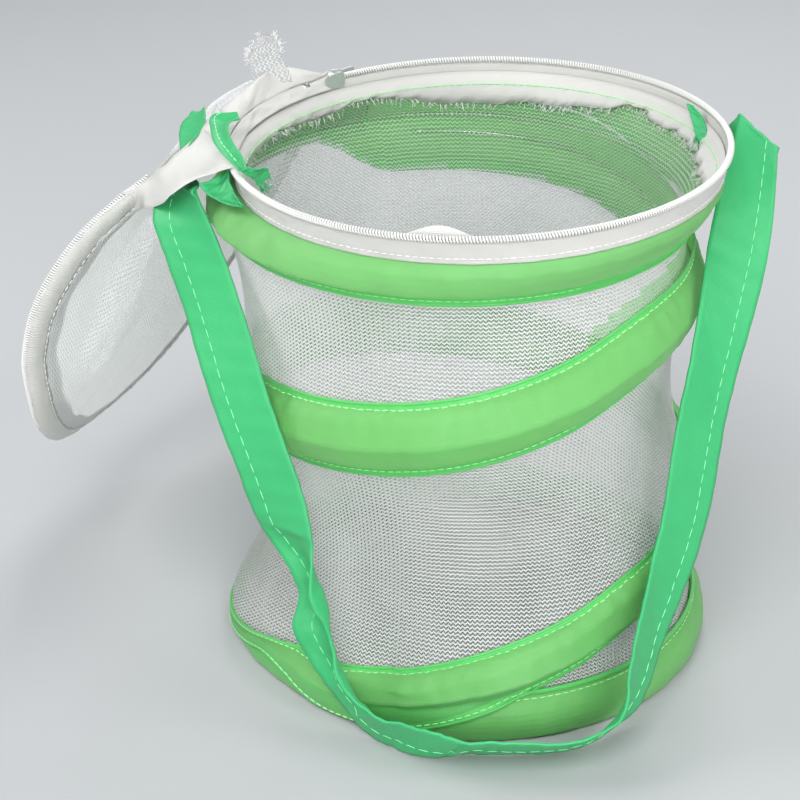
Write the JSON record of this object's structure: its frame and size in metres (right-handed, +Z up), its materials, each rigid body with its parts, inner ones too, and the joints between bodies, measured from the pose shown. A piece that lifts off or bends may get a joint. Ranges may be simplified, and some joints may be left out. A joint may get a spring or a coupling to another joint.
{
  "type": "insect_cage",
  "caption": "Pop-up insect cage: a white mesh tube on a green base ring, a green spiral sleeve round the wall, a zip-off mesh lid hanging open and a green webbing carry strap",
  "frame": {"origin": "on the floor, at the centre of the base ring", "axes": "+X right seen from the front, +Y towards the back, +Z up through the mouth"},
  "size_m": [0.3311, 0.3017, 0.2348],
  "materials": {
    "net": "white warp-knitted polyester mesh, see-through square on and dense at a slant",
    "sleeve": "thin green polyester taffeta, soft satin sheen",
    "wire": "drawn spring wire, plain",
    "clip": "crimped plain metal, matt",
    "tape": "off-white woven polyester tape, matt",
    "coil": "white nylon zip coil",
    "webbing": "bluish green woven webbing with fine cross ribs and a lighter stitch line",
    "slider": "die-cast zip slider, satin silver"
  },
  "bodies": {
    "rim": {"wall_mesh": "net", "spiral_sleeve": "sleeve", "spiral_wire": "wire", "hoop_sleeve": "sleeve", "hoop_wire": "wire", "hoop_ferrule": "clip", "mouth_facing": "tape", "rim_zip_tape": "tape", "rim_zip_coil": "coil", "zip_stop_back": "clip", "zip_stop_front": "clip", "hinge_cloth_rim": "tape", "net_tail": "net", "strap_tab_left": "webbing", "strap_tab_right": "webbing", "carry_strap": "webbing"},
    "base": {"base_sleeve": "sleeve", "base_wire": "wire", "base_ferrule": "clip", "floor_net": "net", "floor_tape": "tape"},
    "lid": {"lid_zip_coil": "coil", "lid_zip_tape": "tape", "lid_net": "net", "lid_seam_tape": "tape", "hinge_cloth_lid": "tape"},
    "slider": {"zip_slider": "slider"},
    "pull": {"pull_tab": "slider"}
  },
  "joints": [
    {"name": "collapse", "type": "slide", "parent": "rim", "child": "base", "axis": [0, 0, 1], "range_m": [0, 0.155], "stiffness_N_per_m": 20, "springref_m": -0.06, "deforming": ["wall_mesh", "spiral_sleeve", "spiral_wire", "carry_strap"]},
    {"name": "lid_hinge", "type": "hinge", "parent": "rim", "child": "lid", "pos_m": [-0.09395, 0.05433, 0.21898], "axis": [-0.4693, -0.8829, -0.0127], "range_deg": [-236, 0], "deforming": ["net_tail"]},
    {"name": "slider_travel", "type": "hinge", "parent": "rim", "child": "slider", "pos_m": [-0.0005, 0.0048, 0.2093], "axis": [-0.027, 0, 0.9996], "range_deg": [-293, 0]},
    {"name": "pull_swing", "type": "hinge", "parent": "slider", "child": "pull", "pos_m": [-0.06759, 0.08447, 0.21709], "axis": [-0.027, 0, 0.9996], "range_deg": [0, 170]}
  ]
}
